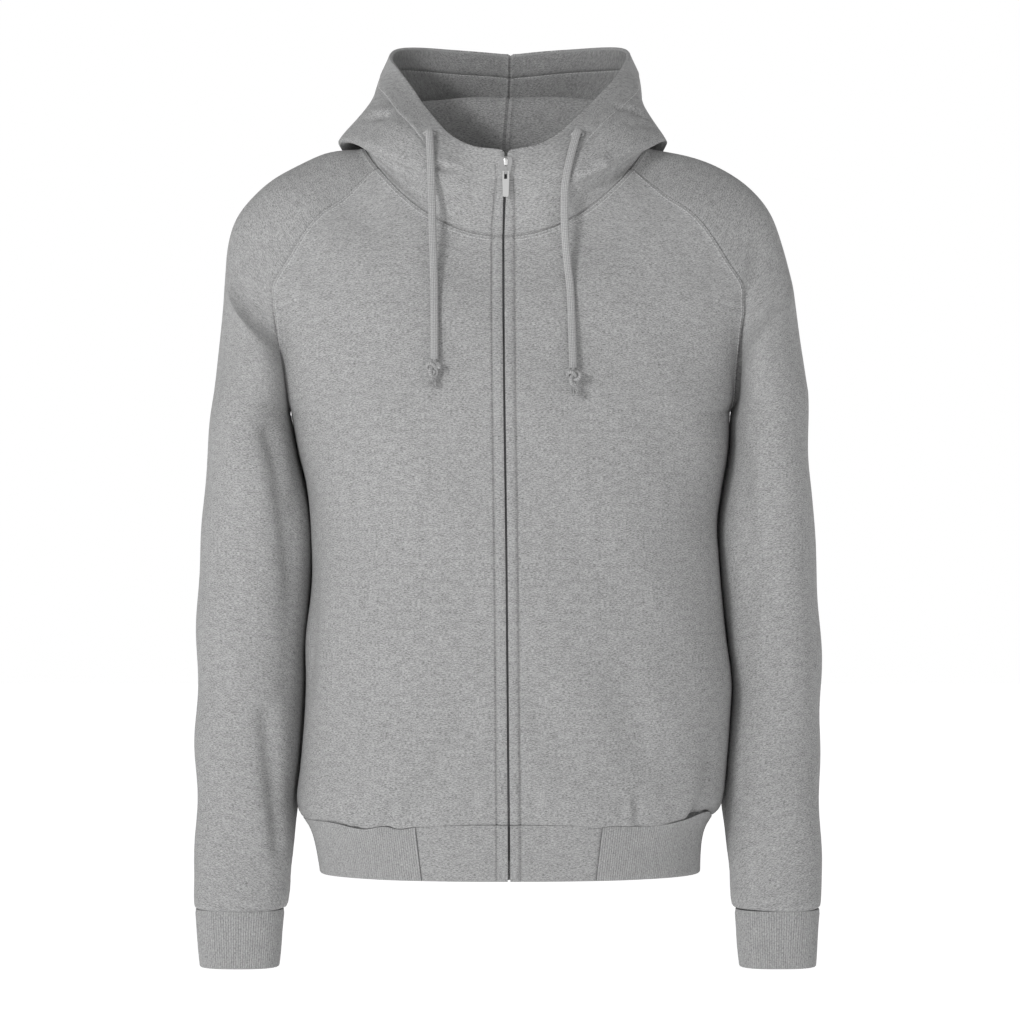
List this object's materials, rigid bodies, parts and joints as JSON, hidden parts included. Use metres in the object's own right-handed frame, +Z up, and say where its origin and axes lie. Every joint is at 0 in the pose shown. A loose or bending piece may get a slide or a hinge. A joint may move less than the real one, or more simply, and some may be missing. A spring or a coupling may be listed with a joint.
{
  "type": "zip up hoodie",
  "caption": "Raglan sweatshirt with a full front zip and a hood lying back, filled out as worn, open at neck, hem and cuffs.",
  "frame": {"origin": "middle of the neck opening, level with the shoulders where the wearer carries the garment", "axes": "+Z up, the front with its zip faces -Y, +X is the wearer's left"},
  "size_m": [0.596, 0.2986, 0.8793],
  "materials": {
    "fleece": "heather grey brushed jersey, matt",
    "rib": "heather grey fine rib, matt",
    "cord": "knitted tubular cord, matt",
    "zip_tape": "woven tape, matt",
    "zip_teeth": "grey coil teeth",
    "zip_metal": "bright nickel, smooth"
  },
  "bodies": {
    "garment": {"front_left": "fleece", "front_right": "fleece", "back": "fleece", "sleeve_left": "fleece", "sleeve_right": "fleece", "hood_left": "fleece", "hood_right": "fleece", "hem_front_left": "fleece", "hem_front_right": "fleece", "cuff_left": "rib", "cuff_right": "rib", "hem_rib": "rib", "zip_tape_left": "zip_tape", "zip_tape_right": "zip_tape", "zip_chain": "zip_teeth", "zip_slider": "zip_metal", "cord_left": "cord", "cord_right": "cord", "knot_left": "cord", "knot_right": "cord"},
    "pull_tab": {"zip_pull": "zip_metal"}
  },
  "joints": [
    {"name": "pull_hinge", "type": "hinge", "parent": "garment", "child": "pull_tab", "pos_m": [-0.00203, -0.09896, -0.02493], "axis": [-1, 0, 0], "range_deg": [-6, 150]}
  ]
}
